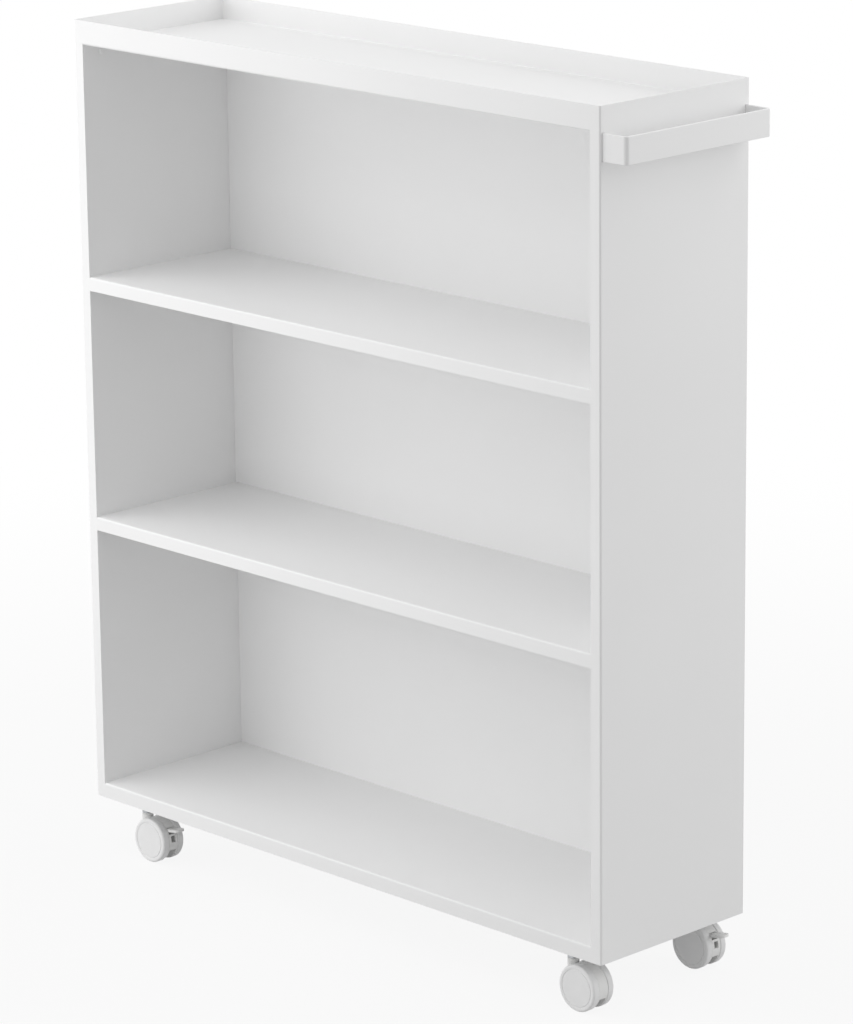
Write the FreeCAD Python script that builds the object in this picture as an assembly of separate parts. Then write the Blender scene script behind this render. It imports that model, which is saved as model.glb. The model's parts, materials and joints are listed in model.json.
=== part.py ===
import FreeCAD, Part
import math
import os

# Book trolley: a folded steel case with hollow side walls, a tray on top, a push handle
# and four twin-wheel casters. Millimetres. The case is drawn with its front left bottom
# corner at zero: X to the right, Y to the back, Z up.

Vector = FreeCAD.Vector

# Case
case_width = 776.0
case_depth = 215.0
case_height = 875.0
sheet = 1.0               # steel sheet of the case
fold_radius = 2.0         # outside radius of a fold
wall_depth = 13.5         # thickness of a hollow side wall
back_recess = 9.0         # depth of the back panel's folded edge
rim_height = 26.0         # rim of the tray, measured on its outside
shelf_edge = 15.0         # front edge of an upper shelf
base_edge = 17.0          # front edge of the base
lower_bay = 293.0         # clear height of the lowest bay

# Handle, a bent flat bar
handle_reach = 32.0
bar_height = 28.0
bar_thickness = 3.0
bar_bend = 1.5            # inside radius of a bend
bar_inset = 3.0           # from the front and back of the case
bar_drop = 0.5            # below the tray's floor
slot_gap = 0.2            # around a leg where it enters the wall

# Screws with button heads, and their nuts
m4 = {
    "radius": 2.0, "length": 8.0, "head_radius": 3.8, "head_height": 2.2, "crown": 1.5,
    "key": 2.5, "key_depth": 1.2, "nut_key": 7.0, "nut_height": 3.2,
}
m3 = {
    "radius": 1.5, "length": 6.0, "head_radius": 2.85, "head_height": 1.65, "crown": 1.1,
    "key": 2.0, "key_depth": 0.9, "nut_key": 5.5, "nut_height": 2.4,
}
hole_gap = 0.2            # around a screw in a sheet
thread_gap = 0.05         # around a screw in its nut
tray_screw_inset = 26.0   # from the front and back of the case
tray_screw_drop = 10.0    # below the tray's floor
shelf_screw_inset = 40.0
back_screw_count = 4
cleat_leg = 20.0          # upright leg of the angle that carries the tray
cleat_foot = 9.0
cleat_sheet = 1.5
cleat_inset = 15.0

# Bearers that carry the casters inside the base
bearer_sheet = 2.5
bearer_width = 44.0
bearer_lift = 1.5         # above the lower edge of the case
stud_radius = 4.0
washer_radius = 8.0
washer_height = 1.6
stud_nut_key = 13.0
stud_nut_height = 6.5
stud_end = 2.0            # stud above its nut

# Casters
caster_height = 62.5      # floor to the lower edge of the case
stem_from_end = 59.5
stem_from_front = 22.5
trail = 18.0
wheel_radius = 25.0
wheel_width = 8.5
wheel_round = 2.5         # rounded outer edge of a wheel
wheel_chamfer = 0.5       # inner edge
wheel_ring = 20.0         # radius of the shallow ring on a wheel's face
wheel_ring_width = 1.0
wheel_ring_depth = 0.5
hood_width = 12.4
hood_wall = 1.4
hood_shell = 2.5
hood_hub = 9.0
neck_drop = 11.4          # top of the neck below the case
neck_length = 15.6
hub_end = 165.0           # angle round the axle where the hub meets the neck's foot
collar_play = 0.4         # neck to the collar above and the rivet below
rivet_height = 2.0
rivet_inset = 0.7         # rivet inside the hood's width
axle_radius = 3.0
axle_head_radius = 3.5
axle_head_length = 1.0
axle_in_wheel = 6.0
running_gap = 0.05        # around a shaft or pin that turns
body_gap = 0.3            # between pieces that move past each other
seat_gap = 0.01           # around a pin held fast

# Brake pedal, with angles measured round the axle from straight behind
pin_radius = 1.25
pin_round = 17.7
pin_angle = 45.0
pedal_rise = 10.0         # slope of the pedal when it is up
pedal_swing = 12.0
pedal_reach = 26.0        # from the pin to the tip
pedal_hub = 3.2
arm_thickness = 3.5
tab_start = 10.2
tab_thickness = 2.6
tab_round = 5.0
window_from = -50.0
window_to = -22.0
cavity_to = 75.0
latch_slot_width = 6.0
latch_slot_from = 0.0
latch_slot_to = 17.0
slot_margin = 1.0         # degrees below the pedal's arm when it is pressed

past = 1.0                # how far a cutting shape runs past a face
past_angle = 3.0          # the same round the axle, in degrees

bay = (case_height - rim_height - base_edge - lower_bay - 2 * shelf_edge) / 2
lower_top = base_edge + lower_bay + shelf_edge
upper_top = lower_top + bay + shelf_edge
floor_top = case_height - rim_height + sheet
floor_under = case_height - rim_height
back_face = case_depth - back_recess
inner_left = wall_depth
inner_right = case_width - wall_depth
middle = case_width / 2
axle_drop = caster_height - wheel_radius
hood_radius = wheel_radius - 2 * body_gap


def block(x0, x1, y0, y1, z0, z1):
    return Part.makeBox(x1 - x0, y1 - y0, z1 - z0, Vector(x0, y0, z0))


def rod(radius, start, direction, length):
    return Part.makeCylinder(radius, length, start, direction)


def along(edge, axis):
    # True for a straight edge that runs along the named axis
    ends = [v.Point for v in edge.Vertexes]
    if len(ends) != 2:
        return False
    run = ends[1] - ends[0]
    return abs(getattr(run, axis)) > 0.999 * run.Length


def rounded(shape, radius, axis, **place):
    # Rounds the straight edges along one axis that lie at the given coordinates
    chosen = []
    for edge in shape.Edges:
        if along(edge, axis):
            point = edge.Vertexes[0].Point
            if all(min(abs(getattr(point, k) - v) for v in values) < 1e-6 for k, values in place.items()):
                chosen.append(edge)
    return shape.makeFillet(radius, chosen)


def cut_all(shape, tools):
    for tool in tools:
        shape = shape.cut(tool)
    return shape


def mirrored(shape):
    return shape.mirror(Vector(middle, 0, 0), Vector(1, 0, 0))


def turned(shape, point, direction):
    # Stands a piece drawn along Z on a point, with its Z along the given direction
    copy = shape.copy()
    copy.Placement = FreeCAD.Placement(point, FreeCAD.Rotation(Vector(0, 0, 1), direction))
    return copy


def hexagon(across, height):
    corner = across / math.sqrt(3)
    turns = [math.radians(60 * k) for k in range(7)]
    points = [Vector(corner * math.cos(t), corner * math.sin(t), 0) for t in turns]
    return Part.Face(Part.makePolygon(points)).extrude(Vector(0, 0, height))


def nut(across, height, bore):
    return hexagon(across, height).cut(rod(bore, Vector(0, 0, -past), Vector(0, 0, 1), height + 2 * past))


def button_screw(size):
    # The head's underside is at zero, the head goes up and the shank goes down
    head = rod(size["head_radius"], Vector(0, 0, 0), Vector(0, 0, 1), size["head_height"])
    top = [e for e in head.Edges if abs(e.BoundBox.ZMin - size["head_height"]) < 1e-6]
    head = head.makeFillet(size["crown"], top)
    socket = hexagon(size["key"], size["head_height"])
    socket.translate(Vector(0, 0, size["head_height"] - size["key_depth"]))
    shank = rod(size["radius"], Vector(0, 0, -size["length"]), Vector(0, 0, 1), size["length"])
    return head.cut(socket).fuse(shank).removeSplitter()


def save(name, shape):
    # The finished frame has its origin on the floor, under the middle of the whole trolley
    placed = shape.copy()
    placed.translate(Vector(-(case_width + handle_reach) / 2, -case_depth / 2, caster_height))
    os.makedirs("parts", exist_ok=True)
    placed.exportStep("parts/" + name + ".step")


# Places of the screws, as points on the left wall's inner face
tray_points = []
for y in (tray_screw_inset, case_depth - tray_screw_inset):
    tray_points.append(Vector(inner_left, y, floor_under - tray_screw_drop))
shelf_points = []
for top, edge in ((upper_top, shelf_edge), (lower_top, shelf_edge), (base_edge, base_edge)):
    for y in (shelf_screw_inset, back_face - shelf_screw_inset):
        shelf_points.append(Vector(inner_left, y, top - edge / 2))
back_screw_y = (back_face + sheet + case_depth - sheet) / 2
back_points = []
for k in range(back_screw_count):
    back_points.append(Vector(inner_left, back_screw_y, floor_under * (k + 0.5) / back_screw_count))


def screw_holes(points, size):
    # Holes along X through the sheets on both sides of the left wall's inner face
    depth = sheet + cleat_sheet + past
    starts = [p - Vector(depth, 0, 0) for p in points]
    return [rod(size["radius"] + hole_gap, s, Vector(1, 0, 0), 2 * depth) for s in starts]


wall_holes = screw_holes(tray_points + shelf_points, m4) + screw_holes(back_points, m3)
wall_holes_right = [mirrored(h) for h in wall_holes]


def outer_skin():
    # One sheet folded round the front, back and bottom of the hollow wall. It stands up
    # past the tray's floor, as the tray's end rim.
    outside = block(0, wall_depth, 0, case_depth, 0, case_height)
    outside = rounded(outside, fold_radius, "z", x=[0], y=[0, case_depth])
    inside = block(sheet, 2 * wall_depth, sheet, case_depth - sheet, sheet, 2 * case_height)
    inside = rounded(inside, fold_radius - sheet, "z", x=[sheet], y=[sheet, case_depth - sheet])
    return outside.cut(inside)


def inner_skin():
    # The flat sheet that closes the hollow wall towards the bays
    return block(wall_depth - sheet, wall_depth, sheet, case_depth - sheet, sheet, floor_under)


def pan(top, edge):
    # A shelf with its four edges folded down
    outside = block(inner_left, inner_right, 0, back_face, top - edge, top)
    outside = rounded(outside, fold_radius, "x", y=[0], z=[top])
    left = inner_left + sheet
    right = inner_right - sheet
    inside = block(left, right, sheet, back_face - sheet, top - 2 * edge, top - sheet)
    inside = rounded(inside, fold_radius - sheet, "x", y=[sheet], z=[top - sheet])
    return cut_all(outside.cut(inside), wall_holes + wall_holes_right)


def back_pan():
    # The back panel, with its four edges folded backwards
    outside = block(inner_left, inner_right, back_face, case_depth, 0, floor_under)
    left = inner_left + sheet
    right = inner_right - sheet
    inside = block(left, right, back_face + sheet, 2 * case_depth, sheet, floor_under - sheet)
    return cut_all(outside.cut(inside), wall_holes + wall_holes_right)


def tray():
    # Floor with the front and back rims folded up, its ends reaching over the hollow walls
    outside = block(inner_left, inner_right, 0, case_depth, floor_under, case_height)
    outside = rounded(outside, fold_radius, "x", y=[0, case_depth], z=[floor_under])
    inside = block(0, case_width, sheet, case_depth - sheet, floor_top, 2 * case_height)
    inside = rounded(inside, fold_radius - sheet, "x", y=[sheet, case_depth - sheet], z=[floor_top])
    ends = block(sheet, case_width - sheet, sheet, case_depth - sheet, floor_under, floor_top)
    ends = rounded(ends, fold_radius, "z", x=[sheet, case_width - sheet], y=[sheet, case_depth - sheet])
    return outside.cut(inside).fuse(ends).removeSplitter()


def cleat():
    # Angle under the tray's floor, against the hidden face of the inner skin
    face = wall_depth - sheet
    front = cleat_inset
    back = case_depth - cleat_inset
    leg = block(face - cleat_sheet, face, front, back, floor_under - cleat_leg, floor_under)
    foot = block(face - cleat_foot, face, front, back, floor_under - cleat_sheet, floor_under)
    return cut_all(leg.fuse(foot).removeSplitter(), wall_holes)


bar_top = floor_under - bar_drop
bar_bottom = bar_top - bar_height


def handle_bar():
    # The legs go through slots in the outer skin and end against the inner skin
    foot = case_width - wall_depth + sheet
    front = bar_inset
    back = case_depth - bar_inset
    far = case_width + handle_reach
    outside = block(foot, far, front, back, bar_bottom, bar_top)
    outside = rounded(outside, bar_bend + bar_thickness, "z", x=[far], y=[front, back])
    near = far - bar_thickness
    inside = block(0, near, front + bar_thickness, back - bar_thickness, 0, 2 * case_height)
    inside = rounded(inside, bar_bend, "z", x=[near], y=[front + bar_thickness, back - bar_thickness])
    return outside.cut(inside)


def handle_slots():
    slots = []
    for y in (bar_inset, case_depth - bar_inset - bar_thickness):
        front = y - slot_gap
        back = y + bar_thickness + slot_gap
        low = bar_bottom - slot_gap
        high = bar_top + slot_gap
        slots.append(block(case_width - sheet - past, case_width + past, front, back, low, high))
    return slots


seat = bearer_lift + bearer_sheet
stem_y = [stem_from_front, case_depth - stem_from_front]
left_stems = [Vector(stem_from_end, y, 0) for y in stem_y]
right_stems = [Vector(case_width - stem_from_end, y, 0) for y in stem_y]


def bearer():
    # Channel across the base that the two stems of one end are bolted to
    x0 = stem_from_end - bearer_width / 2
    x1 = stem_from_end + bearer_width / 2
    ceiling = base_edge - sheet
    outside = block(x0, x1, sheet, back_face - sheet, bearer_lift, ceiling)
    inside = block(x0 + bearer_sheet, x1 - bearer_sheet, 0, case_depth, seat, 2 * ceiling)
    holes = [rod(stud_radius + hole_gap, p, Vector(0, 0, 1), base_edge) for p in left_stems]
    return cut_all(outside.cut(inside), holes)


neck_top = -neck_drop
neck_bottom = neck_top - neck_length
collar_bottom = neck_top + collar_play
rivet_top = neck_bottom - collar_play
rivet_radius = hood_width / 2 - rivet_inset


def stem():
    # Stud, collar and the shank that the caster turns on, riveted over below the neck
    up = Vector(0, 0, 1)
    stud_length = bearer_sheet + washer_height + stud_nut_height + stud_end
    stud = rod(stud_radius, Vector(0, 0, bearer_lift), up, stud_length)
    collar = rod(hood_width / 2, Vector(0, 0, collar_bottom), up, bearer_lift - collar_bottom)
    shank = rod(stud_radius, Vector(0, 0, rivet_top), up, collar_bottom - rivet_top)
    rivet = rod(rivet_radius, Vector(0, 0, rivet_top - rivet_height), up, rivet_height)
    return stud.fuse([collar, shank, rivet]).removeSplitter()


def polar(radius, degrees):
    return Vector(radius * math.cos(math.radians(degrees)), 0, radius * math.sin(math.radians(degrees)))


def sector(inner, outer, start, end, width):
    # A piece of a ring round the axle, between two angles, centred on the caster's middle plane
    half = (start + end) / 2
    edges = [
        Part.Arc(polar(outer, start), polar(outer, half), polar(outer, end)).toShape(),
        Part.LineSegment(polar(outer, end), polar(inner, end)).toShape(),
        Part.Arc(polar(inner, end), polar(inner, half), polar(inner, start)).toShape(),
        Part.LineSegment(polar(inner, start), polar(outer, start)).toShape(),
    ]
    solid = Part.Face(Part.Wire(edges)).extrude(Vector(0, width, 0))
    solid.translate(Vector(0, -width / 2, 0))
    return solid


pin_place = polar(pin_round, pin_angle)
neck_rise = axle_drop - neck_drop
cavity_width = hood_width - 2 * hood_wall
shell_inside = hood_radius - hood_shell


def arm_angle(offset, slope, radius):
    # Angle round the axle at which an edge of the pedal's arm reaches a radius
    direction = polar(1, slope)
    start = pin_place + polar(offset, slope + 90)
    back = start.dot(direction)
    reach = math.sqrt(back ** 2 - start.dot(start) + radius ** 2) - back
    point = start + direction * reach
    return math.degrees(math.atan2(point.z, point.x))


arm_side = arm_thickness / 2 + 2 * body_gap
slot_from = arm_angle(-arm_side, pedal_rise - pedal_swing, hood_radius) - slot_margin
slot_to = arm_angle(0, pedal_rise, hood_radius)


def at_pedal_slope(shape):
    # Turns a shape drawn along X from the pin to the slope of the pedal when it is up
    shape.Placement = FreeCAD.Placement(pin_place, FreeCAD.Rotation(Vector(0, 1, 0), -pedal_rise))
    return shape


def hood(braked):
    # Shell between the two wheels, with the neck that the stem goes into
    lead = math.degrees(math.acos(-trail / hood_radius))
    foot = neck_rise - neck_length
    mid = polar(hood_radius, (window_from + lead) / 2)
    hub_turn = polar(hood_hub, (window_from + hub_end) / 2 - 180)
    corner = polar(hood_hub, hub_end)
    edges = [
        Part.Arc(polar(hood_radius, window_from), mid, polar(hood_radius, lead)).toShape(),
        Part.LineSegment(polar(hood_radius, lead), Vector(-trail, 0, foot)).toShape(),
        Part.LineSegment(Vector(-trail, 0, foot), Vector(corner.x, 0, foot)).toShape(),
        Part.LineSegment(Vector(corner.x, 0, foot), corner).toShape(),
        Part.Arc(corner, hub_turn, polar(hood_hub, window_from)).toShape(),
        Part.LineSegment(polar(hood_hub, window_from), polar(hood_radius, window_from)).toShape(),
    ]
    body = Part.Face(Part.Wire(edges)).extrude(Vector(0, hood_width, 0))
    body.translate(Vector(0, -hood_width / 2, 0))
    neck = rod(hood_width / 2, Vector(-trail, 0, foot), Vector(0, 0, 1), neck_length)
    body = body.fuse(neck).removeSplitter()
    low = shell_inside - past
    high = hood_radius + past
    across = Vector(0, 1, 0)
    neck_start = Vector(-trail, 0, foot - past)
    cuts = [
        sector(hood_hub, shell_inside, window_from - past_angle, cavity_to, cavity_width),
        sector(low, high, window_from - past_angle, window_to, cavity_width),
        rod(stud_radius + running_gap, neck_start, Vector(0, 0, 1), neck_length + 2 * past),
        rod(axle_radius + seat_gap, Vector(0, -hood_width, 0), across, 2 * hood_width),
    ]
    if braked:
        pin_start = pin_place - Vector(0, hood_width, 0)
        arm_room = block(0, pedal_reach, -cavity_width / 2, cavity_width / 2, -arm_side, arm_side)
        cuts.append(at_pedal_slope(arm_room))
        cuts.append(sector(low, high, slot_from, slot_to, cavity_width))
        cuts.append(sector(low, high, latch_slot_from, latch_slot_to, latch_slot_width))
        cuts.append(rod(pin_radius + seat_gap, pin_start, across, 2 * hood_width))
    return cut_all(body, cuts)


wheel_inner = hood_width / 2 + body_gap


def axle():
    # Shaft through the hood, with a snap head inside each wheel
    end = wheel_inner + axle_in_wheel
    across = Vector(0, 1, 0)
    shaft = rod(axle_radius, Vector(0, -end, 0), across, 2 * end)
    starts = [Vector(0, -end, 0), Vector(0, end - axle_head_length, 0)]
    heads = [rod(axle_head_radius, s, across, axle_head_length) for s in starts]
    return shaft.fuse(heads).removeSplitter()


def wheel():
    # Turned profile: X is the radius and Y the depth from the inner face. The outer face is
    # closed, and None stands for the arc between its two neighbours.
    bore = axle_radius + running_gap
    head_bore = axle_head_radius + 2 * running_gap
    ledge = axle_in_wheel - axle_head_length - body_gap
    end = axle_in_wheel + body_gap
    rim = wheel_radius - wheel_round
    ring = wheel_ring_width / 2
    turn = wheel_round * math.sqrt(0.5)
    groove = wheel_width - wheel_ring_depth
    path = [
        (bore, 0), (wheel_radius - wheel_chamfer, 0), (wheel_radius, wheel_chamfer),
        (wheel_radius, wheel_width - wheel_round), None, (rim, wheel_width),
        (wheel_ring + ring, wheel_width), (wheel_ring + ring, groove),
        (wheel_ring - ring, groove), (wheel_ring - ring, wheel_width),
        (0, wheel_width), (0, end), (head_bore, end), (head_bore, ledge), (bore, ledge), (bore, 0),
    ]
    edges = []
    for first, second, third in zip(path, path[1:], path[2:] + [None]):
        if second is None:
            centre = Vector(rim + turn, wheel_width - wheel_round + turn, 0)
            edges.append(Part.Arc(Vector(*first, 0), centre, Vector(*third, 0)).toShape())
        elif first is not None:
            edges.append(Part.LineSegment(Vector(*first, 0), Vector(*second, 0)).toShape())
    return Part.Face(Part.Wire(edges)).revolve(Vector(0, 0, 0), Vector(0, 1, 0), 360)


def pedal():
    # Drawn along X from the pin, then sloped
    half = cavity_width / 2 - body_gap
    side = hood_width / 2
    top = tab_thickness / 2
    hub = rod(pedal_hub, Vector(0, -half, 0), Vector(0, 1, 0), 2 * half)
    arm = block(0, tab_start + top, -half, half, -arm_thickness / 2, arm_thickness / 2)
    tab = block(tab_start, pedal_reach, -side, side, -top, top)
    tab = rounded(tab, tab_round, "z", x=[pedal_reach], y=[-side, side])
    bore = rod(pin_radius + running_gap, Vector(0, -hood_width, 0), Vector(0, 1, 0), 2 * hood_width)
    return at_pedal_slope(hub.fuse([arm, tab]).removeSplitter().cut(bore))


def pedal_pin():
    return rod(pin_radius, pin_place - Vector(0, hood_width / 2, 0), Vector(0, 1, 0), hood_width)


def moved(shape, offset):
    copy = shape.copy()
    copy.translate(offset)
    return copy


# Case
save("left_outer_skin", outer_skin())
save("right_outer_skin", cut_all(mirrored(outer_skin()), handle_slots()))
save("left_inner_skin", cut_all(inner_skin(), wall_holes))
save("right_inner_skin", cut_all(mirrored(inner_skin()), wall_holes_right))
save("back_panel", back_pan())
save("top_tray", tray())
save("upper_shelf", pan(upper_top, shelf_edge))
save("lower_shelf", pan(lower_top, shelf_edge))
save("base_shelf", pan(base_edge, base_edge))
save("handle", handle_bar())
save("left_tray_cleat", cleat())
save("right_tray_cleat", mirrored(cleat()))
save("left_caster_bearer", bearer())
save("right_caster_bearer", mirrored(bearer()))


def both_sides(shapes):
    return Part.makeCompound(shapes + [mirrored(s) for s in shapes])


def screws_and_nuts(name, points, size, head_at, nut_at):
    # Heads stand off the inner face by head_at, nuts lie behind it by nut_at
    screw = button_screw(size)
    fixing = nut(size["nut_key"], size["nut_height"], size["radius"] + thread_gap)
    inward = Vector(1, 0, 0)
    screws = [turned(screw, p + inward * head_at, inward) for p in points]
    nuts = [turned(fixing, p - inward * nut_at, -inward) for p in points]
    save(name + "_screws", both_sides(screws))
    save(name + "_nuts", both_sides(nuts))


screws_and_nuts("tray", tray_points, m4, 0, sheet + cleat_sheet)
screws_and_nuts("shelf", shelf_points, m4, sheet, sheet)
screws_and_nuts("back", back_points, m3, sheet, sheet)

washer = rod(washer_radius, Vector(0, 0, seat), Vector(0, 0, 1), washer_height)
washer = washer.cut(rod(stud_radius + hole_gap, Vector(0, 0, 0), Vector(0, 0, 1), base_edge))
stud_nut = nut(stud_nut_key, stud_nut_height, stud_radius + thread_gap)
stud_nut.translate(Vector(0, 0, seat + washer_height))
save("stem_washers", both_sides([moved(washer, p) for p in left_stems]))
save("stem_nuts", both_sides([moved(stud_nut, p) for p in left_stems]))

# Casters
places = {
    "front_left": (left_stems[0], True),
    "rear_left": (left_stems[1], False),
    "front_right": (right_stems[0], False),
    "rear_right": (right_stems[1], True),
}
for name, (place, braked) in places.items():
    hub = place + Vector(trail, 0, -axle_drop)
    save(name + "_stem", moved(stem(), place))
    save(name + "_hood", moved(hood(braked), hub))
    save(name + "_axle", moved(axle(), hub))
    near = turned(wheel(), hub - Vector(0, wheel_inner, 0), Vector(0, 0, 1))
    near.rotate(near.Placement.Base, Vector(0, 0, 1), 180)
    save(name + "_near_wheel", near)
    save(name + "_far_wheel", moved(wheel(), hub + Vector(0, wheel_inner, 0)))
    if braked:
        save(name + "_pedal", moved(pedal(), hub))
        save(name + "_pedal_pin", moved(pedal_pin(), hub))
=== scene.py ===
# %% [markdown]
# # A slim book trolley
# The real trolley is a case of folded steel sheet on four small twin-wheel casters, with three
# open bays, a shallow tray on top and a flat-bar handle on one side. Everything on it is white,
# so its shape is told by soft shadows, by the thin dark line of a folded edge and by how glossy
# each white is. The CAD model already holds the right sizes, so this script dresses it: it eases
# the edges, models the round pieces finely, gives each material its finish, and lights it.

# %% Load the frame
import bmesh
import bpy
import json
import math
from mathutils import Matrix, Quaternion, Vector


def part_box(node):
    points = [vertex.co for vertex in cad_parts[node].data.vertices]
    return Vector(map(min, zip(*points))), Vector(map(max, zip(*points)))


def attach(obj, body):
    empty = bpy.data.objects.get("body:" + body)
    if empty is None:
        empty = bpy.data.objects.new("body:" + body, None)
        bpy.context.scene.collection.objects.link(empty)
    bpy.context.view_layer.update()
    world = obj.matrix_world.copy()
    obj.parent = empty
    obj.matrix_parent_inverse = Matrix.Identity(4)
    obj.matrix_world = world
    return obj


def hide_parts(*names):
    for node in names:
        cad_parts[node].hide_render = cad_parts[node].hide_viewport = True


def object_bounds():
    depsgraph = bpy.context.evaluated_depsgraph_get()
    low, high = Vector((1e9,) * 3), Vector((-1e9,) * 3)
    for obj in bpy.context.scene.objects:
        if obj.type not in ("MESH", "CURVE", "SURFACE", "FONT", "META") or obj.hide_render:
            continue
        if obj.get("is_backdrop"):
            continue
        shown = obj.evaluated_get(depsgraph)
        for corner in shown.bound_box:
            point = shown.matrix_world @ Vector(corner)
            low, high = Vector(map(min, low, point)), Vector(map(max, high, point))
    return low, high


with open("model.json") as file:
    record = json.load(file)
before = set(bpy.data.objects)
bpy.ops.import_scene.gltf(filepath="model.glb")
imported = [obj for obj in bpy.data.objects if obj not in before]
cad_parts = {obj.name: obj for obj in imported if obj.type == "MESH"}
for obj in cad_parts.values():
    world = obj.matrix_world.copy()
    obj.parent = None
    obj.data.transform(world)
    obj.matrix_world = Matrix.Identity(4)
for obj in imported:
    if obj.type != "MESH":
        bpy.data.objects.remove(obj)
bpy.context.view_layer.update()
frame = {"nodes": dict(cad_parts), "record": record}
MM = 0.001
body_of = {n: b for b, nodes in frame["record"]["behaviour"]["bodies"].items() for n in nodes}
slot_of = {s["node"]: s["material_slot"] for s in frame["record"]["subparts"]}

# %% [markdown]
# ## Colours
# Colours are written the way a paint chart or a picture editor shows them, as sRGB hex values.
# Blender's shaders work with linear numbers instead, where twice the number is twice the light.
# One function turns the first into the second, so every colour in the script can be read as hex.

# %% Turn a hex colour into linear numbers
WHITE = "FFFFFF"


def linear(colour):
    channels = [int(colour[k:k + 2], 16) / 255 for k in (0, 2, 4)]
    return [c / 12.92 if c <= 0.04045 else ((c + 0.055) / 1.055) ** 2.4 for c in channels] + [1.0]


print("white paint F3F3F3 is", [round(c, 3) for c in linear("F3F3F3")[:3]], "linear")

# %% [markdown]
# ## Words for materials
# A Blender material is a network of nodes. One function here adds a node, sets it and wires it.
# The others are named for what the nodes do: a noise of a given size on the object, two shades
# that follow a pattern, a gloss that varies with it, and a relief that catches the light. With
# them, a material below reads as a short list of what feeds what.

# %% Material helpers
MIX_FIRST = 6
MIX_SECOND = 7
MIX_RESULT = 2


def add(tree, kind, values, links):
    node = tree.nodes.new(kind)
    for name, value in values.items():
        if isinstance(name, int) or name in node.inputs:
            node.inputs[name].default_value = value
        else:
            setattr(node, name, value)
    for name, source in links.items():
        tree.links.new(source, node.inputs[name])
    return node


def new_material(name):
    material = bpy.data.materials.new(name)
    material.use_nodes = True
    tree = material.node_tree
    place = add(tree, "ShaderNodeTexCoord", {}, {}).outputs["Object"]
    return material, tree, tree.nodes["Principled BSDF"], place


def noise(tree, place, size, detail):
    pattern = add(tree, "ShaderNodeTexNoise", {"Scale": 1 / size, "Detail": detail}, {"Vector": place})
    return pattern.outputs["Fac"]


def shades(tree, shader, colours, pattern):
    first, second = [linear(colour) for colour in colours]
    mix = add(tree, "ShaderNodeMix", {"data_type": "RGBA", MIX_FIRST: first, MIX_SECOND: second},
              {0: pattern})
    tree.links.new(mix.outputs[MIX_RESULT], shader.inputs["Base Color"])


def gloss(tree, shader, roughness, pattern):
    least, most = roughness
    spread = add(tree, "ShaderNodeMapRange", {"To Min": least, "To Max": most}, {0: pattern})
    tree.links.new(spread.outputs[0], shader.inputs["Roughness"])


def relief(tree, shader, pattern, strength, height):
    bump = add(tree, "ShaderNodeBump", {"Strength": strength, "Distance": height}, {"Height": pattern})
    tree.links.new(bump.outputs["Normal"], shader.inputs["Normal"])


print("a pattern 2 mm wide is a noise of scale", 1 / (2 * MM))

# %% [markdown]
# ## White powder coat
# The case and the handle are steel, coated with a polyester powder that is baked until it flows.
# The baked film is satin: it is never quite flat, but has a fine orange-peel ripple, and where the
# powder lay thicker the white is a trace brighter. A plain white shader would look like paper. So
# a slow noise varies the white by a trace, a middle one varies the gloss, and a fine one makes the
# ripple. The real ripple is about 1 mm from crest to crest, too fine to show at this distance, so
# it is drawn at 2.4 mm and kept very shallow.

# %% Powder coat material
COAT_WHITES = ("F2F2F2", "F5F5F5")
COAT_ROUGHNESS = (0.40, 0.52)
COAT_IOR = 1.5
FILM_PATCH = 140 * MM
FLOW_PATCH = 18 * MM
PEEL_CREST = 2.4 * MM
PEEL_HEIGHT = 0.012 * MM


def powder_coat():
    material, tree, shader, place = new_material("satin_white_powder_coat")
    shades(tree, shader, COAT_WHITES, noise(tree, place, FILM_PATCH, detail=2.0))
    gloss(tree, shader, COAT_ROUGHNESS, noise(tree, place, FLOW_PATCH, detail=3.0))
    peel = noise(tree, place, PEEL_CREST, detail=1.0)
    relief(tree, shader, peel, strength=0.5, height=PEEL_HEIGHT)
    shader.inputs["IOR"].default_value = COAT_IOR
    return material


coat = powder_coat()
print("material:", coat.name)

# %% [markdown]
# ## Caster plastics
# The hoods and pedals are moulded in white polyamide. The mould is spark eroded, which leaves a
# fine grain, and the plastic is glossier than the coat. The wheels are moulded in the same white,
# but their faces are turned in the mould, so very faint rings run round the axle. The rings follow
# a number stored on the wheel's own mesh, its distance from the axle, because that stays with the
# wheel when it spins.

# %% Plastic materials
MOULDED_WHITES = ("EDEDEC", "F1F1F0")
MOULDED_ROUGHNESS = (0.32, 0.46)
MOULDED_CLOUD = 25 * MM
MOULDED_GRAIN = 0.9 * MM
WHEEL_WHITES = ("EDEDED", "F2F2F2")
WHEEL_ROUGHNESS = (0.30, 0.44)
WHEEL_CLOUD = 12 * MM
WHEEL_RINGS = 0.8 * MM
PLASTIC_RELIEF = 0.02 * MM
PLASTIC_IOR = 1.53


def moulded_white():
    material, tree, shader, place = new_material("moulded_white_polyamide")
    grain = noise(tree, place, MOULDED_GRAIN, detail=2.0)
    shades(tree, shader, MOULDED_WHITES, noise(tree, place, MOULDED_CLOUD, detail=2.0))
    gloss(tree, shader, MOULDED_ROUGHNESS, grain)
    relief(tree, shader, grain, strength=0.5, height=PLASTIC_RELIEF)
    shader.inputs["IOR"].default_value = PLASTIC_IOR
    return material


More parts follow.
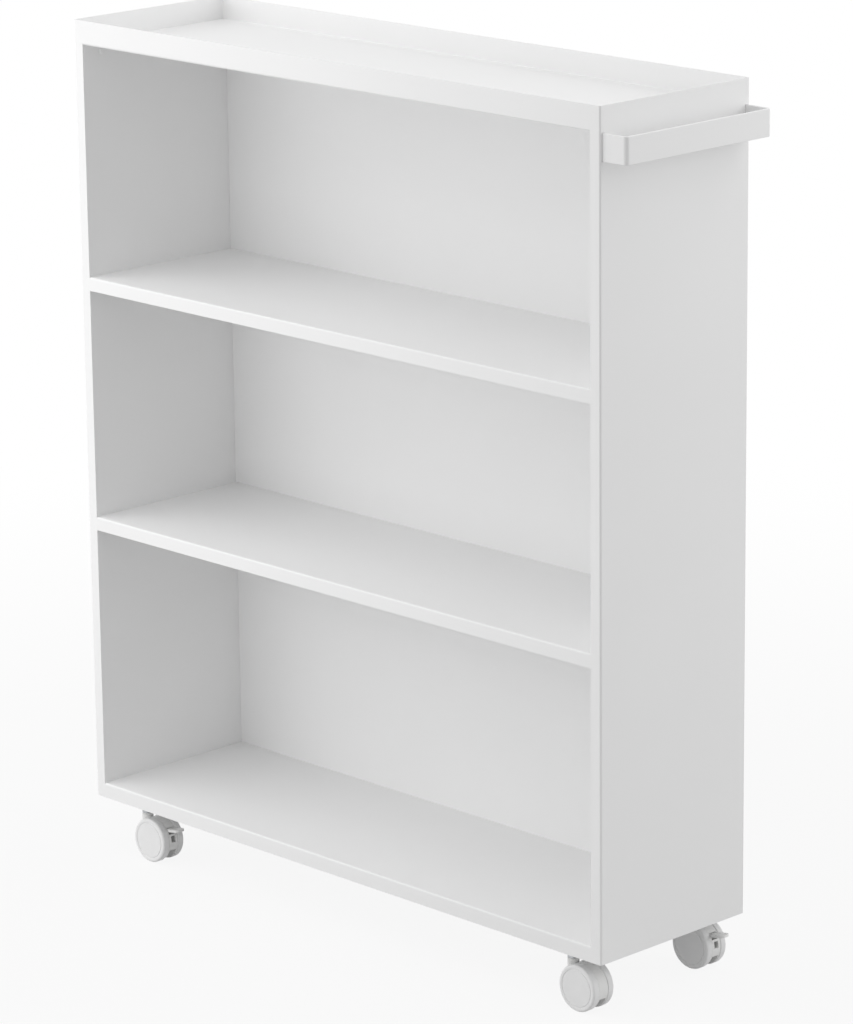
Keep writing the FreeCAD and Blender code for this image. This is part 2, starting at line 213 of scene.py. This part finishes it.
def wheel_white():
    material, tree, shader, place = new_material("turned_white_polyamide")
    reach = add(tree, "ShaderNodeAttribute", {"attribute_name": "from_axle"}, {}).outputs["Fac"]
    line = add(tree, "ShaderNodeCombineXYZ", {}, {"X": reach}).outputs[0]
    rings = noise(tree, line, WHEEL_RINGS, detail=1.0)
    shades(tree, shader, WHEEL_WHITES, noise(tree, place, WHEEL_CLOUD, detail=2.0))
    gloss(tree, shader, WHEEL_ROUGHNESS, rings)
    relief(tree, shader, rings, strength=0.4, height=PLASTIC_RELIEF)
    shader.inputs["IOR"].default_value = PLASTIC_IOR
    return material


moulded = moulded_white()
turned = wheel_white()
print("materials:", moulded.name, turned.name)

# %% [markdown]
# ## Zinc-plated steel
# Stems, axles, nuts and the screws out of sight are plated with a thin bright zinc. It is a pale,
# slightly bluish grey metal whose crystals scatter light unevenly, so the grey and the gloss are
# both mottled at about a millimetre, and the shine is soft. The last lines then give every CAD
# node the finish that its record names, also the nodes that stay as they are.

# %% Zinc material
ZINC_GREYS = ("B4B7BA", "C6C8CA")
ZINC_ROUGHNESS = (0.28, 0.42)
ZINC_CRYSTAL = 1.1 * MM


def zinc_plate():
    material, tree, shader, place = new_material("zinc_plated_steel")
    cells = add(tree, "ShaderNodeTexVoronoi", {"Scale": 1 / ZINC_CRYSTAL}, {"Vector": place})
    crystals = cells.outputs["Distance"]
    shades(tree, shader, ZINC_GREYS, crystals)
    gloss(tree, shader, ZINC_ROUGHNESS, crystals)
    shader.inputs["Metallic"].default_value = 1.0
    return material


zinc = zinc_plate()
finish_of = {"powder_coat": coat, "caster_plastic": moulded, "zinc_steel": zinc}
for name, node in frame["nodes"].items():
    node.data.materials.clear()
    node.data.materials.append(finish_of[slot_of[name]])
print("material:", zinc.name, "and a finish on every CAD node")

# %% [markdown]
# ## Finished pieces
# A finished piece is a mesh of its own that stands for a CAD node and rides on the same body. It
# is shaded smooth, except across edges that are meant to be seen as edges. The large flat faces
# lead the shading, so that a small rounding beside them doesn't darken or brighten a whole panel.

# %% Turn a mesh into a finished piece
SMOOTH_BELOW = math.radians(35)
LARGE_FACES_LEAD = 100


def finished(shape, name, node, material):
    mesh = bpy.data.meshes.new(name)
    shape.to_mesh(mesh)
    open_edges = sum(not e.is_manifold for e in shape.edges)
    shape.free()
    mesh.shade_smooth()
    mesh.set_sharp_from_angle(angle=SMOOTH_BELOW)
    mesh.materials.append(material)
    piece = bpy.data.objects.new(name, mesh)
    bpy.context.scene.collection.objects.link(piece)
    even = piece.modifiers.new("flat_faces_lead", "WEIGHTED_NORMAL")
    even.keep_sharp = True
    even.weight = LARGE_FACES_LEAD
    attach(piece, body_of[node])
    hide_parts(node)
    print(name, len(mesh.polygons), "faces,", open_edges, "open edges")


print("smooth below", round(math.degrees(SMOOTH_BELOW)), "degrees")

# %% [markdown]
# ## Easing a CAD node
# A CAD node arrives as loose flat triangles: right in size, but its round folds look faceted and
# its edges are sharper than any coated sheet. So the finished piece starts from a copy: the
# triangles are joined, flat areas become single faces, and the long sharp edges get a small
# rounding, as the baked film gives them.

# %% Ease the edges of a CAD node
JOIN_WITHIN = 0.002 * MM
FLAT_WITHIN = math.radians(0.5)
EASE_STEPS = 2


def eased(node, radius, shortest, material):
    shape = bmesh.new()
    shape.from_mesh(frame["nodes"][node].data)
    bmesh.ops.remove_doubles(shape, verts=shape.verts, dist=JOIN_WITHIN)
    bmesh.ops.dissolve_limit(shape, angle_limit=FLAT_WITHIN, verts=shape.verts, edges=shape.edges)
    sharp = [e for e in shape.edges
             if e.calc_face_angle(0) > SMOOTH_BELOW and e.calc_length() > shortest]
    bmesh.ops.bevel(shape, geom=sharp, offset=radius, segments=EASE_STEPS, profile=0.5,
                    affect="EDGES", material=-1, clamp_overlap=True)
    finished(shape, "finished_" + node, node, material)


print("corners within", round(JOIN_WITHIN / MM, 3), "mm are joined")

# %% [markdown]
# ## The folded case
# The skins, shelves, tray and back panel are 1 mm sheet. A sheared sheet edge is square, and the
# coat rounds it by about a third of a millimetre, which is what the easing gives. Short edges are
# left alone: they belong to the folds and the holes, which are round already.

# %% Finish the case
SHEET_EASE = 0.3 * MM
SHEET_SHORTEST = 2.4 * MM
for name in ("outer_skin", "inner_skin", "caster_bearer"):
    for side in ("left", "right"):
        eased(side + "_" + name, SHEET_EASE, SHEET_SHORTEST, coat)
for name in ("back_panel", "top_tray", "upper_shelf", "lower_shelf", "base_shelf"):
    eased(name, SHEET_EASE, SHEET_SHORTEST, coat)

# %% [markdown]
# ## Turned shapes
# Screws and wheels are shapes of rotation. Half of the section is drawn as an outline, single
# corners of it are rounded with a bevel, and the spin operator turns it about its axis. The outline
# starts and ends on the axis, and the points that fall together there are merged. A second
# function then stands the turned shape on its place.

# %% Turn an outline and stand it up
TURN_STEPS = 96


def lathe(outline, rounded):
    shape = bmesh.new()
    verts = {point: shape.verts.new((point[0], 0, point[1])) for point in outline}
    path = list(verts.values())
    for first, second in zip(path, path[1:]):
        shape.edges.new((first, second))
    for point, (radius, steps) in rounded.items():
        bmesh.ops.bevel(shape, geom=[verts[point]], offset=radius, segments=steps, profile=0.5,
                        affect="VERTICES", material=-1)
    bmesh.ops.spin(shape, geom=shape.verts[:] + shape.edges[:], cent=(0, 0, 0), axis=(0, 0, 1),
                   angle=2 * math.pi, steps=TURN_STEPS, use_merge=True)
    bmesh.ops.remove_doubles(shape, verts=shape.verts, dist=JOIN_WITHIN)
    bmesh.ops.recalc_face_normals(shape, faces=shape.faces)
    return shape


def stand(shape, foot, outward):
    place = Matrix.Translation(foot) @ outward.to_track_quat("Z", "X").to_matrix().to_4x4()
    bmesh.ops.transform(shape, matrix=place, verts=shape.verts)


print("a full turn takes", TURN_STEPS, "steps")

# %% [markdown]
# ## Screw heads under the tray
# Four screws hold the tray, and one of their heads shows in the photograph as a small light dot on
# the left wall. The heads are coated white with the case. A button head is domed, so the rim of
# its outline gets a wide rounding that nearly reaches down to the wall.

# %% Model the screw heads
HEAD_RADIUS = 3.8 * MM
HEAD_HEIGHT = 2.2 * MM
CROWN = 2.1 * MM
CROWN_STEPS = 8
SHANK_RADIUS = 2 * MM
SHANK = 8 * MM

low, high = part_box("tray_screws")
rim = (HEAD_RADIUS, HEAD_HEIGHT)
screw = [(0, -SHANK), (SHANK_RADIUS, -SHANK), (SHANK_RADIUS, 0), (HEAD_RADIUS, 0), rim,
         (0, HEAD_HEIGHT)]
for side, foot_x, way in (("left", low.x + SHANK, 1), ("right", high.x - SHANK, -1)):
    for end, y in (("front", low.y + HEAD_RADIUS), ("rear", high.y - HEAD_RADIUS)):
        shape = lathe(screw, {rim: (CROWN, CROWN_STEPS)})
        stand(shape, (foot_x, y, (low.z + high.z) / 2), Vector((way, 0, 0)))
        finished(shape, end + "_" + side + "_tray_screw", "tray_screws", coat)

# %% [markdown]
# ## The handle
# The handle is one flat steel bar, bent twice. Its long edges are rolled, so a plain box section
# would catch no light along them. The section is drawn once with rounded corners and then pushed
# along the front leg, swung round the first bend, pushed along the grip, and so on. Swinging a
# section with the spin operator is how a bender works too, and keeps the thickness right. Each
# step hands on the corners and edges of the end as well as its face. Given the face alone, Blender
# would leave it behind as a wall inside the bar.

# %% Model the handle
BAR = 3 * MM
BAR_EDGE = 0.7 * MM
BAR_EDGE_STEPS = 4
BEND_INSIDE = 1.5 * MM
BEND_ANGLE = math.radians(90)
BEND_STEPS = 12


def push(shape, end, way):
    grown = bmesh.ops.extrude_face_region(shape, geom=end)["geom"]
    bmesh.ops.translate(shape, verts=[v for v in grown if isinstance(v, bmesh.types.BMVert)], vec=way)
    return grown


def swing(shape, end, centre):
    bent = bmesh.ops.spin(shape, geom=end, cent=centre, axis=(0, 0, 1), angle=BEND_ANGLE,
                          steps=BEND_STEPS)
    return bent["geom_last"]


def handle_bar():
    low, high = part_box("handle")
    middle = (low + high) / 2
    turn = BEND_INSIDE + BAR
    leg = high.x - turn - low.x
    grip = high.y - low.y - 2 * turn
    front, back = low.y, low.y + BAR
    section = ((front, low.z), (back, low.z), (back, high.z), (front, high.z))
    shape = bmesh.new()
    shape.faces.new([shape.verts.new((low.x, y, z)) for y, z in section])
    bmesh.ops.bevel(shape, geom=shape.verts[:], offset=BAR_EDGE, segments=BAR_EDGE_STEPS, profile=0.5,
                    affect="VERTICES", material=-1)
    end = shape.verts[:] + shape.edges[:] + shape.faces[:]
    end = push(shape, end, (leg, 0, 0))
    end = swing(shape, end, (high.x - turn, low.y + turn, middle.z))
    end = push(shape, end, (0, grip, 0))
    end = swing(shape, end, (high.x - turn, high.y - turn, middle.z))
    push(shape, end, (-leg, 0, 0))
    bmesh.ops.remove_doubles(shape, verts=shape.verts, dist=JOIN_WITHIN)
    bmesh.ops.recalc_face_normals(shape, faces=shape.faces)
    finished(shape, "finished_handle", "handle", coat)


handle_bar()

# %% [markdown]
# ## The wheels
# Each caster has two wheels, moulded discs with a rounded shoulder and a shallow ring pressed into
# the face. They are turned like the screws. The inner edge is rounded too: between it and the hood
# lies the thin dark line that shows where one piece ends and the next begins.

# %% Model the wheels
CASTERS = ("front_left", "rear_left", "front_right", "rear_right")
SHOULDER = 2.5 * MM
SHOULDER_STEPS = 8
INNER_EDGE = 0.9 * MM
INNER_STEPS = 4
RING_RADIUS = 20 * MM
RING_WIDTH = 1.2 * MM
RING_DEPTH = 0.6 * MM
RING_EDGE = 0.3 * MM
RING_STEPS = 2
BORE = 3.05 * MM
BORE_DEPTH = 6.3 * MM


def wheel(node, side):
    low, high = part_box(node)
    centre = (low + high) / 2
    radius = (high.z - low.z) / 2
    width = high.y - low.y
    ring_in = RING_RADIUS - RING_WIDTH / 2
    ring_out = RING_RADIUS + RING_WIDTH / 2
    ring_floor = width - RING_DEPTH
    inner_edge, shoulder = (radius, 0), (radius, width)
    outer_lip, inner_lip = (ring_out, width), (ring_in, width)
    outline = [(0, BORE_DEPTH), (BORE, BORE_DEPTH), (BORE, 0), inner_edge, shoulder, outer_lip,
               (ring_out, ring_floor), (ring_in, ring_floor), inner_lip, (0, width)]
    ring_lip = (RING_EDGE, RING_STEPS)
    shape = lathe(outline, {inner_edge: (INNER_EDGE, INNER_STEPS), shoulder: (SHOULDER, SHOULDER_STEPS),
                            outer_lip: ring_lip, inner_lip: ring_lip})
    reach = shape.verts.layers.float.new("from_axle")
    for vert in shape.verts:
        vert[reach] = math.hypot(vert.co.x, vert.co.y)
    inner_face, outward = (high.y, -1) if side == "near" else (low.y, 1)
    stand(shape, (centre.x, inner_face, centre.z), Vector((0, outward, 0)))
    finished(shape, "finished_" + node, node, turned)


for caster in CASTERS:
    for side in ("near", "far"):
        wheel(caster + "_" + side + "_wheel", side)

# %% [markdown]
# ## Hoods, pedals and stems
# The hood stands between the wheels and carries the neck. On the braked casters a pedal comes out
# of a slot in its back. These are moulded, so every edge has a radius: half a millimetre or a
# little more is what a toolmaker cuts so that the part leaves the mould. The stem is turned steel.

# %% Finish hoods, pedals and stems
HOOD_EASE = 0.6 * MM
PEDAL_EASE = 0.5 * MM
STEM_EASE = 0.3 * MM
STEM_SHORTEST = 2.4 * MM
MOULDED_SHORTEST = 1.2 * MM
for caster in CASTERS:
    eased(caster + "_hood", HOOD_EASE, MOULDED_SHORTEST, moulded)
    eased(caster + "_stem", STEM_EASE, STEM_SHORTEST, zinc)
    if caster + "_pedal" in frame["nodes"]:
        eased(caster + "_pedal", PEDAL_EASE, MOULDED_SHORTEST, moulded)

# %% [markdown]
# ## Floor
# The trolley stands on a pale studio floor that runs out of sight. For the rays that come straight
# from the camera, or from it by way of a shiny surface, a plain white glow is mixed in: most of the
# way beside the trolley, so that its soft shadow stays, and fully from two metres out.

# %% Model the floor
FLOOR_RADIUS = 40.0
FLOOR_SIDES = 64
FLOOR_GREY = "C4C4C4"
FLOOR_ROUGHNESS = 0.9
NEAR_GLOW = 0.9
FULL_GLOW = 1.0
GLOW_GROWS_FROM = 0.5
GLOW_FULL_AT = 2.0


def white_for(tree):
    path = add(tree, "ShaderNodeLightPath", {}, {}).outputs
    shine = add(tree, "ShaderNodeMath", {"operation": "MAXIMUM"},
                {0: path["Is Glossy Ray"], 1: path["Is Transmission Ray"]})
    return add(tree, "ShaderNodeMath", {"operation": "MAXIMUM"},
               {0: path["Is Camera Ray"], 1: shine.outputs[0]}).outputs[0]


def floor_finish():
    material, tree, shader, place = new_material("pale_studio_floor")
    shader.inputs["Base Color"].default_value = linear(FLOOR_GREY)
    shader.inputs["Roughness"].default_value = FLOOR_ROUGHNESS
    shader.inputs["Specular IOR Level"].default_value = 0.0
    away = add(tree, "ShaderNodeVectorMath", {"operation": "LENGTH"}, {0: place}).outputs["Value"]
    fade = add(tree, "ShaderNodeMapRange",
               {"interpolation_type": "SMOOTHSTEP", "From Min": GLOW_GROWS_FROM, "From Max": GLOW_FULL_AT,
                "To Min": NEAR_GLOW, "To Max": FULL_GLOW}, {0: away})
    share = add(tree, "ShaderNodeMath", {"operation": "MULTIPLY"},
                {0: white_for(tree), 1: fade.outputs[0]})
    glow = add(tree, "ShaderNodeEmission", {"Color": linear(WHITE), "Strength": 1.0}, {})
    both = add(tree, "ShaderNodeMixShader", {},
               {0: share.outputs[0], 1: shader.outputs[0], 2: glow.outputs[0]})
    tree.links.new(both.outputs[0], tree.nodes["Material Output"].inputs["Surface"])
    material.cycles.emission_sampling = "NONE"
    return material


def studio_floor():
    shape = bmesh.new()
    bmesh.ops.create_circle(shape, cap_ends=True, radius=FLOOR_RADIUS, segments=FLOOR_SIDES)
    mesh = bpy.data.meshes.new("studio_floor")
    shape.to_mesh(mesh)
    shape.free()
    mesh.materials.append(floor_finish())
    floor = bpy.data.objects.new("studio_floor", mesh)
    bpy.context.scene.collection.objects.link(floor)
    floor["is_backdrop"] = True


studio_floor()
print("floor radius", FLOOR_RADIUS, "m")

# %% [markdown]
# ## Surroundings
# The rays that see the floor's glow also see a white world at strength 1. The picture gets its
# white background this way, and the zinc its white surroundings, without any more light on the
# trolley. All other rays see a weaker white, a fill light that comes from every side.

# %% Light the world
FILL = 0.60
BACKGROUND = 1.0


def studio_world():
    world = bpy.data.worlds.new("studio")
    world.use_nodes = True
    tree = world.node_tree
    sky = tree.nodes["Background"]
    sky.inputs["Color"].default_value = linear(WHITE)
    strength = add(tree, "ShaderNodeMapRange", {"To Min": FILL, "To Max": BACKGROUND},
                   {0: white_for(tree)})
    tree.links.new(strength.outputs[0], sky.inputs["Strength"])
    bpy.context.scene.world = world


studio_world()
print("fill light", FILL)

# %% [markdown]
# ## Lamps
# The folded corner nearest the camera shows as a thin dark line between two bright faces. That
# only happens when the light comes from both sides and little comes from where the camera stands.
# So soft boxes stand to the left of the front and behind on the right, and none stands near the
# camera. The two high ones light the tray, and the one on the right also makes the top of that
# side a little brighter than its foot. Shiny surfaces don't see the soft boxes, because they have
# the white surroundings to reflect already. Without that, the tray would glare in the side views.

# %% Lamps
LIT_SPOT = Vector((0, 0, 0.5))


def aim(item, target, azimuth, elevation, distance, roll=0.0):
    a, e = math.radians(azimuth), math.radians(elevation)
    back = Vector((math.sin(a) * math.cos(e), -math.cos(a) * math.cos(e), math.sin(e)))
    tilt = Quaternion((0, 0, 1), math.radians(roll))
    item.location = target + back * distance
    item.rotation_mode = "QUATERNION"
    item.rotation_quaternion = (-back).to_track_quat("-Z", "Y") @ tilt
    bpy.context.scene.collection.objects.link(item)


def softbox(name, azimuth, elevation, distance, size, watts):
    light = bpy.data.lights.new(name, "AREA")
    light.shape = "SQUARE"
    light.size = size
    light.energy = watts
    lamp = bpy.data.objects.new(name, light)
    lamp.visible_camera = False
    lamp.visible_glossy = False
    aim(lamp, LIT_SPOT, azimuth, elevation, distance)
    print("lamp", name, watts, "W")


softbox("front_softbox", azimuth=-25, elevation=5, distance=1.4, size=1.0, watts=5.0)
softbox("high_front_softbox", azimuth=-30, elevation=60, distance=1.8, size=1.2, watts=5.3)
softbox("left_softbox", azimuth=-60, elevation=25, distance=2.5, size=1.6, watts=13.7)
softbox("right_softbox", azimuth=140, elevation=8, distance=5.0, size=2.5, watts=53)
softbox("high_right_softbox", azimuth=130, elevation=40, distance=1.6, size=1.0, watts=4.0)

# %% [markdown]
# ## Camera
# The camera looks from the right, a little from above, through a long lens. Its place was worked
# out from the corners of the case in the photograph. That photograph was taken with a shifted
# lens, which keeps uprights parallel; this camera has no shift, so that it also serves the other
# views.

# %% Camera
SENSOR = 36.0
IMAGE_HEIGHT = 1024
FOCAL_PIXELS = 4653.0
VIEW_AZIMUTH = 45.68
VIEW_ELEVATION = 15.23
VIEW_ROLL = -0.64
VIEW_DISTANCE = 4.8985
VIEW_TARGET = Vector((0.0140, 0.0043, 0.4465))

lens = bpy.data.cameras.new("camera")
lens.sensor_width = SENSOR
lens.lens = SENSOR * FOCAL_PIXELS / IMAGE_HEIGHT
camera = bpy.data.objects.new("camera", lens)
aim(camera, VIEW_TARGET, VIEW_AZIMUTH, VIEW_ELEVATION, VIEW_DISTANCE, VIEW_ROLL)
bpy.context.scene.camera = camera
bpy.context.scene.view_settings.view_transform = "Standard"
print("lens", round(lens.lens, 1), "mm")

# %% [markdown]
# ## Sizes
# The finished object has to fill the same box as the CAD model. Its size is measured and printed here.

# %% Measure the size
low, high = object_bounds()
print("size", [round(v / MM, 1) for v in high - low], "mm")
